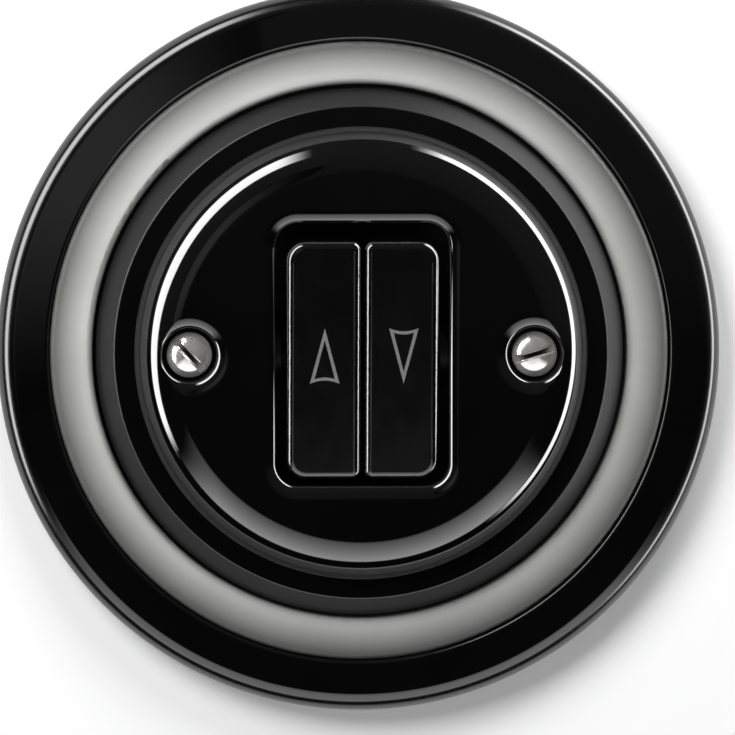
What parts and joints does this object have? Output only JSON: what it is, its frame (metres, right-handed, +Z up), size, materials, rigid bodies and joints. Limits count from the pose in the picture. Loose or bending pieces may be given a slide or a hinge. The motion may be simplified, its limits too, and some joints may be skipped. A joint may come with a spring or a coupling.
{
  "type": "flush-mounted double pushbutton switch for blinds",
  "caption": "Round flush-mounted pushbutton switch for a blind motor: black glazed porcelain with a satin metal ring, spring-return buttons with up and down arrows.",
  "frame": {"origin": "centre of the switch on the wall plane, midway between the fixing slots", "axes": "+Z up, -Y out of the wall towards the room, +X to the right as seen from the room"},
  "size_m": [0.1, 0.0388, 0.1],
  "materials": {
    "glazed_porcelain": "gloss",
    "satin_metal": "satin",
    "bright_plating": "polished",
    "button_plastic": "gloss",
    "plated_steel": "zinc plated",
    "blackened_steel": "black oxide",
    "carrier_plastic": "matte",
    "base_plastic": "matte",
    "plunger_plastic": "matte",
    "contact_brass": "stamped",
    "spring_steel": "drawn"
  },
  "bodies": {
    "fixed": {"porcelain_frame": "glazed_porcelain", "trim_ring": "satin_metal", "cover_plate": "glazed_porcelain", "cover_screws": "bright_plating", "pivot_pin": "blackened_steel", "pivot_frame": "carrier_plastic", "support_plate": "plated_steel", "frame_rivets": "plated_steel", "switch_base": "base_plastic", "up_return_spring": "spring_steel", "down_return_spring": "spring_steel", "common_contact": "contact_brass", "up_contact": "contact_brass", "down_contact": "contact_brass", "common_clamp": "contact_brass", "up_clamp": "contact_brass", "down_clamp": "contact_brass", "clamp_screws": "plated_steel"},
    "up_key": {"up_button": "button_plastic"},
    "down_key": {"down_button": "button_plastic"},
    "up_slider": {"up_plunger": "plunger_plastic", "up_bridge": "contact_brass"},
    "down_slider": {"down_plunger": "plunger_plastic", "down_bridge": "contact_brass"}
  },
  "joints": [
    {"name": "up_press", "type": "hinge", "parent": "fixed", "child": "up_key", "pos_m": [0, -0.007, 0], "axis": [-1, 0, 0], "range_deg": [0, 8], "stiffness_Nm_per_rad": 0.2, "springref_deg": -8.59},
    {"name": "up_slide", "type": "slide", "parent": "fixed", "child": "up_slider", "axis": [0, 1, 0], "range_m": [0, 0.00126], "deforming": ["up_return_spring"]},
    {"name": "down_press", "type": "hinge", "parent": "fixed", "child": "down_key", "pos_m": [0, -0.007, 0], "axis": [-1, 0, 0], "range_deg": [0, 8], "stiffness_Nm_per_rad": 0.2, "springref_deg": -8.59},
    {"name": "down_slide", "type": "slide", "parent": "fixed", "child": "down_slider", "axis": [0, 1, 0], "range_m": [0, 0.00126], "deforming": ["down_return_spring"]}
  ],
  "couplings": [
    {"joint": "up_press", "follows": "up_slide", "rad_per_m": 111.17},
    {"joint": "down_press", "follows": "down_slide", "rad_per_m": 111.17}
  ]
}
